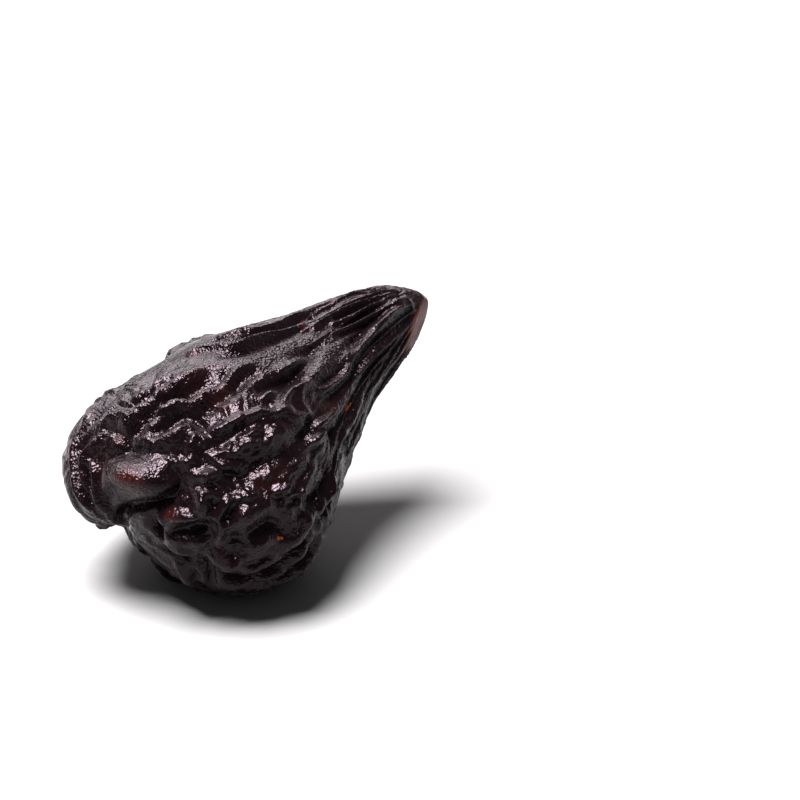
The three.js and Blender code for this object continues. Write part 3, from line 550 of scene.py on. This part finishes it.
def relief_at(spots, reach, turn):
    """How high the skin stands over the smooth fruit: what the solid has too, and the finer part."""
    rough = 1 - SEEN_SIDE["calmer"] * facing(turn, SEEN_SIDE)
    for place, size, weaker in SMOOTH_PATCHES:
        rough *= 1 - weaker * near_place(spots, place, size)
    bulb = 1 - smoothstep(reach, *BULB_GOES)
    neck = shows(reach, NECK_COMES, NECK_GOES)
    lumpy_top = bell(reach - LUMPY_TOP["reach"], LUMPY_TOP["length"]) * facing(turn, LUMPY_TOP)
    lumpy = np.minimum(lumpy_top + facing(turn, LUMPY_BELOW), 1)

    warp_size, warp_far, warp_seed = WARP
    warps = [ripple(spots, warp_size, warp_seed + k) for k in range(3)]
    pulled = spots + warp_far * np.stack(warps, axis=1)
    swell_size, swell_high, swell_seed = SWELL
    swell = swell_high * ripple(spots, swell_size, swell_seed)
    net_size, net_high, net_seed = NET
    net = net_high * (bell(ripple(pulled, net_size, net_seed), NET_WIDTH) - NET_MEAN)
    lumps = lumps_of(pulled, LUMPS) * between(LUMPS_ELSEWHERE, 1, lumpy) + lumps_of(pulled, SMALL_LUMPS)
    coarse = swell + folds_at(spots) - FOLDS_MEAN
    coarse += rough * (bulb * (net + lumps) + neck * neck_ridges_at(reach, turn))
    coarse += shows(reach, EYE_FOLDS_COME, EYE_FOLDS_GO) * eye_folds_at(turn)

    fine = lumps_of(pulled, FINE_LUMPS) * rough
    fine += lumps_of(pulled, FINEST_LUMPS) * between(FINEST_ON_SMOOTH, 1, rough)
    return coarse, fine * shows(reach, FINE_COMES, FINE_GOES)


def marks_at(spots, marks):
    """How strongly the marks show at spots of the smooth skin."""
    total = np.zeros(len(spots))
    for place, size, strength in marks:
        total = np.maximum(total, strength * near_place(spots, place, size))
    return total


def icosphere(steps):
    """A sphere made from an icosahedron's faces, each cut into steps squared: its points, its triangles and
    which points the solid's mesh has too."""
    t = (1 + math.sqrt(5)) / 2
    corners = np.array([
        (-1, t, 0), (1, t, 0), (-1, -t, 0), (1, -t, 0), (0, -1, t), (0, 1, t),
        (0, -1, -t), (0, 1, -t), (t, 0, -1), (t, 0, 1), (-t, 0, -1), (-t, 0, 1),
    ])
    sides = [
        (0, 11, 5), (0, 5, 1), (0, 1, 7), (0, 7, 10), (0, 10, 11), (1, 5, 9), (5, 11, 4),
        (11, 10, 2), (10, 7, 6), (7, 1, 8), (3, 9, 4), (3, 4, 2), (3, 2, 6), (3, 6, 8),
        (3, 8, 9), (4, 9, 5), (2, 4, 11), (6, 2, 10), (8, 6, 7), (9, 8, 1),
    ]
    row = [(i, j) for i in range(steps + 1) for j in range(steps + 1 - i)]
    index = {place: k for k, place in enumerate(row)}
    grid = np.array(row)
    share_c = grid[:, :1] / steps
    share_b = grid[:, 1:] / steps
    share_a = 1 - share_b - share_c
    cells = []
    for i in range(steps):
        for j in range(steps - i):
            cells.append((index[i, j], index[i, j + 1], index[i + 1, j]))
            if j < steps - i - 1:
                cells.append((index[i, j + 1], index[i + 1, j + 1], index[i + 1, j]))
    cells = np.array(cells)
    face_on_solid = (grid % (steps // SOLID_STEPS) == 0).all(axis=1)
    points = []
    triangles = []
    for n, (a, b, c) in enumerate(sides):
        flat = share_a * corners[a] + share_b * corners[b] + share_c * corners[c]
        points.append(flat / np.linalg.norm(flat, axis=1)[:, None])
        triangles.append(cells + n * len(row))
    points = np.concatenate(points)
    on_solid = np.tile(face_on_solid, len(sides))
    keys = np.round(points / SAME_POINT).astype(np.int64)
    _, first, shared = np.unique(keys, axis=0, return_index=True, return_inverse=True)
    return points[first], shared.reshape(-1)[np.concatenate(triangles)], on_solid[first]


def vertex_normals(points, triangles):
    a, b, c = (points[triangles[:, k]] for k in range(3))
    faces = np.cross(b - a, c - a)
    normals = np.zeros_like(points)
    for axis in range(3):
        for k in range(3):
            normals[:, axis] += np.bincount(triangles[:, k], faces[:, axis], len(points))
    return normals / np.linalg.norm(normals, axis=1)[:, None]


def press_flat(points, normal, through, edge):
    """Presses onto a plane what lies beyond it, and rounds the skin within the edge's width of the plane."""
    beyond = (points - through) @ normal
    rounded = np.where(beyond <= -edge, beyond, -((beyond - edge) ** 2) / (4 * edge))
    eased = np.where(beyond >= edge, 0, rounded)
    return points + normal * (eased - beyond)[:, None]


def turn_about_y(points, angle):
    turned = points.copy()
    turned[:, 0] = points[:, 0] * math.cos(angle) + points[:, 2] * math.sin(angle)
    turned[:, 2] = -points[:, 0] * math.sin(angle) + points[:, 2] * math.cos(angle)
    return turned


def build_skin():
    """The skin's points in mm, where the solid has them too, its triangles, and its marks point by point."""
    on_sphere, triangles, on_solid = icosphere(SPHERE_STEPS)
    area = (1 + on_sphere[:, 0]) / 2 * area_before[-1]
    reach = np.interp(area, area_before, step_reaches)
    turn = np.arctan2(on_sphere[:, 2], on_sphere[:, 1])
    spots = smooth_skin(reach, turn)
    outward = vertex_normals(spots, triangles)
    coarse, fine = relief_at(spots, reach, turn)

    side = math.radians(STEM_CUT["side"])
    faces_y = STEM_CUT["faces_side"] * math.cos(side)
    faces_z = STEM_CUT["faces_side"] * math.sin(side)
    cut_faces = np.array([STEM_CUT["faces_stem"], faces_y, faces_z])
    cut_faces /= np.linalg.norm(cut_faces)
    cut_through = skin_place(STEM_CUT["reach"], STEM_CUT["side"])
    angle = -math.radians(NECK_RAISE)
    lift = -turn_about_y(spots, angle)[on_solid, 2].min() - BELLY_PRESSED_IN
    down = np.array([0.0, 0.0, -1.0])

    def finished(raised):
        """The raised skin with the stem cut, laid on its belly."""
        laid = turn_about_y(press_flat(raised, cut_faces, cut_through, CUT_EDGE), angle)
        laid[:, 2] += lift
        return press_flat(laid, down, np.zeros(3), BELLY_EDGE)

    solid = finished(spots + outward * coarse[:, None])[on_solid]
    middle = (solid.min(axis=0) + solid.max(axis=0)) / 2
    middle[2] = 0
    raised = spots + outward * (coarse + fine)[:, None]
    marks = {
        "cut": smoothstep((raised - cut_through) @ cut_faces, *CUT_SHOWS),
        "sheen": marks_at(spots, SHEEN_MARKS),
        "red": marks_at(spots, RED_MARKS),
        "scar": marks_at(spots, SCAR_MARKS),
    }
    return finished(raised) - middle, triangles, marks


def linked(name, data):
    """A new object in the scene."""
    thing = bpy.data.objects.new(name, data)
    bpy.context.scene.collection.objects.link(thing)
    return thing


def skin_mesh(name):
    points, triangles, marks = build_skin()
    mesh = bpy.data.meshes.new(name)
    mesh.vertices.add(len(points))
    mesh.vertices.foreach_set("co", (points * MM).ravel())
    mesh.loops.add(triangles.size)
    mesh.loops.foreach_set("vertex_index", triangles.ravel().astype(np.int32))
    mesh.polygons.add(len(triangles))
    mesh.polygons.foreach_set("loop_start", np.arange(0, triangles.size, 3, dtype=np.int32))
    mesh.polygons.foreach_set("use_smooth", np.ones(len(triangles), bool))
    mesh.update(calc_edges=True)
    for mark, values in marks.items():
        attribute = mesh.attributes.new(mark, "FLOAT", "POINT")
        attribute.data.foreach_set("value", values.astype(np.float32))
    return mesh


class Shader:
    """A new material, with short ways to add nodes to it."""

    # The places of a Mix node's colour sockets.
    MIX_FIRST = 6
    MIX_SECOND = 7
    MIX_RESULT = 2

    def __init__(self, name):
        self.material = bpy.data.materials.new(name)
        self.material.use_nodes = True
        self.nodes = self.material.node_tree.nodes
        self.surface = self.nodes["Principled BSDF"].inputs

    def join(self, output, socket):
        self.material.node_tree.links.new(output, socket)

    def attribute(self, name):
        node = self.nodes.new("ShaderNodeAttribute")
        node.attribute_name = name
        return node.outputs["Fac"]

    def noise(self, where, pattern):
        """A noise given as (scale per metre, detail, roughness)."""
        node = self.nodes.new("ShaderNodeTexNoise")
        for name, value in zip(("Scale", "Detail", "Roughness"), pattern):
            node.inputs[name].default_value = value
        self.join(where, node.inputs["Vector"])
        return node.outputs["Fac"]

    def nearest_speck(self, where, scale):
        """The distance to the nearest of many scattered points."""
        node = self.nodes.new("ShaderNodeTexVoronoi")
        node.inputs["Scale"].default_value = scale
        self.join(where, node.inputs["Vector"])
        return node.outputs["Distance"]

    def ramp(self, value, span, result=(0.0, 1.0)):
        """Draws a value's span to the span of the result, and holds it at the ends."""
        node = self.nodes.new("ShaderNodeMapRange")
        for name, setting in zip(("From Min", "From Max", "To Min", "To Max"), (*span, *result)):
            node.inputs[name].default_value = setting
        self.join(value, node.inputs["Value"])
        return node.outputs["Result"]

    def combined(self, operation, first, second):
        node = self.nodes.new("ShaderNodeMath")
        node.operation = operation
        self.join(first, node.inputs[0])
        self.join(second, node.inputs[1])
        return node.outputs[0]

    def mixed(self, share, first, second):
        """Two colours mixed. Each is a colour or another node's output."""
        node = self.nodes.new("ShaderNodeMix")
        node.data_type = "RGBA"
        self.join(share, node.inputs["Factor"])
        for place, colour in ((self.MIX_FIRST, first), (self.MIX_SECOND, second)):
            if isinstance(colour, tuple):
                node.inputs[place].default_value = (*colour, 1)
            else:
                self.join(colour, node.inputs[place])
        return node.outputs[self.MIX_RESULT]

    def bump(self, height):
        node = self.nodes.new("ShaderNodeBump")
        node.inputs["Strength"].default_value = BUMP_STRENGTH
        self.join(height, node.inputs["Height"])
        return node


def skin_material(name):
    """Near-black skin with red patches and marks, dust and scars, and orange-red flesh on the cut."""
    skin = Shader(name)
    where = skin.nodes.new("ShaderNodeTexCoord").outputs["Object"]
    cut = skin.attribute("cut")
    mottled = skin.noise(where, MOTTLE)
    patches = skin.ramp(skin.noise(where, PATCHES), PATCHES_COME)
    red = skin.ramp(skin.combined("MULTIPLY", skin.attribute("red"), mottled), RED_COMES)
    scarred = skin.ramp(skin.combined("MULTIPLY", skin.attribute("scar"), mottled), SCAR_COMES)
    dusty = skin.ramp(skin.nearest_speck(where, DUST_SCALE), DUST_COMES)
    fibres = skin.ramp(skin.noise(where, FIBRES), FIBRES_COME)
    colour = skin.mixed(patches, DARK_SKIN, RED_SKIN)
    colour = skin.mixed(red, colour, BRIGHT_RED_SKIN)
    colour = skin.mixed(scarred, colour, SCAR)
    colour = skin.mixed(dusty, colour, DUST)
    colour = skin.mixed(cut, colour, skin.mixed(fibres, CUT_FLESH, CUT_SHADE))
    skin.join(colour, skin.surface["Base Color"])

    roughness = skin.ramp(skin.noise(where, SHINE), SHINE_DULLS, SKIN_ROUGHNESS)
    rougher = skin.ramp(cut, (0.0, 1.0), (0.0, CUT_ROUGHER))
    skin.join(skin.combined("ADD", roughness, rougher), skin.surface["Roughness"])
    skin.surface["Specular IOR Level"].default_value = SKIN_SPECULAR
    skin.surface["Specular Tint"].default_value = SPECULAR_TINT
    skin.surface["Sheen Weight"].default_value = SHEEN
    skin.surface["Sheen Roughness"].default_value = SHEEN_ROUGHNESS
    skin.surface["Sheen Tint"].default_value = SHEEN_TINT
    skin.surface["Subsurface Weight"].default_value = SUBSURFACE
    skin.surface["Subsurface Radius"].default_value = SUBSURFACE_RADIUS
    skin.surface["Subsurface Scale"].default_value = SUBSURFACE_SCALE

    grain = skin.bump(skin.noise(where, GRAIN))
    skin.join(skin.ramp(skin.attribute("sheen"), (0.0, 1.0), GRAIN_DEPTHS), grain.inputs["Distance"])
    pores = skin.bump(skin.noise(where, PORES))
    pores.inputs["Distance"].default_value = PORE_DEPTH
    skin.join(grain.outputs["Normal"], pores.inputs["Normal"])
    skin.join(pores.outputs["Normal"], skin.surface["Normal"])
    return skin.material


def table_mesh(name):
    corners = [(-1, -1), (1, -1), (1, 1), (-1, 1)]
    mesh = bpy.data.meshes.new(name)
    mesh.from_pydata([(x * TABLE_HALF, y * TABLE_HALF, 0) for x, y in corners], [], [(0, 1, 2, 3)])
    table = Shader(name)
    table.surface["Base Color"].default_value = TABLE_COLOUR
    table.surface["Roughness"].default_value = TABLE_ROUGHNESS
    table.surface["Specular IOR Level"].default_value = TABLE_SPECULAR
    mesh.materials.append(table.material)
    return mesh


def add_camera():
    """The camera looks at the fruit from the photo's side."""
    sideways = math.cos(CAMERA_ELEVATION)
    forward = Vector((
        -math.sin(CAMERA_AZIMUTH) * sideways,
        math.cos(CAMERA_AZIMUTH) * sideways,
        -math.sin(CAMERA_ELEVATION),
    ))
    right = Vector((math.cos(CAMERA_AZIMUTH), math.sin(CAMERA_AZIMUTH), 0))
    upward = right.cross(forward)
    centre = AIM + right * ((PICTURE_PIXELS / 2 - AIM_PIXEL_X) / PIXELS_PER_MM * MM)
    centre -= upward * ((PICTURE_PIXELS / 2 - AIM_PIXEL_Y) / PIXELS_PER_MM * MM)
    camera = linked("camera", bpy.data.cameras.new("camera"))
    camera.data.sensor_width = SENSOR_MM
    camera.data.lens = PIXELS_PER_MM / MM * CAMERA_DISTANCE * SENSOR_MM / PICTURE_PIXELS
    camera.data.clip_start = CAMERA_CLIP_START
    camera.matrix_world = Matrix.Translation(centre - forward * CAMERA_DISTANCE) @ Matrix((
        (right.x, upward.x, -forward.x, 0),
        (right.y, upward.y, -forward.y, 0),
        (right.z, upward.z, -forward.z, 0),
        (0, 0, 0, 1),
    ))
    return camera


def add_softbox(name, settings):
    """An oval light that faces the fruit."""
    light = linked(name, bpy.data.lights.new(name, "AREA"))
    light.data.shape = "ELLIPSE"
    light.data.size, light.data.size_y = settings["size"]
    light.data.energy = settings["power"]
    light.data.color = LIGHT_COLOUR
    light.location = settings["place"]
    light.rotation_euler = (AIM - light.location).to_track_quat("-Z", "Y").to_euler()
    return light


fig = linked("fig_skin", skin_mesh("fig_skin"))
fig.data.materials.append(skin_material("fig_skin"))
floor = linked("table", table_mesh("table"))
bpy.context.scene.camera = add_camera()

# A round softbox above, a card behind that shows only as a reflection, and faint light from all round.
add_softbox("key", KEY)
add_softbox("back", SHINE_CARD).visible_diffuse = False
world = bpy.data.worlds.new("tent")
world.use_nodes = True
world.node_tree.nodes["Background"].inputs["Color"].default_value = TENT_COLOUR
world.node_tree.nodes["Background"].inputs["Strength"].default_value = TENT_STRENGTH
bpy.context.scene.world = world
bpy.context.scene.view_settings.view_transform = "Standard"
bpy.context.scene.view_settings.look = "None"

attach(fig, "root")
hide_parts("fig")
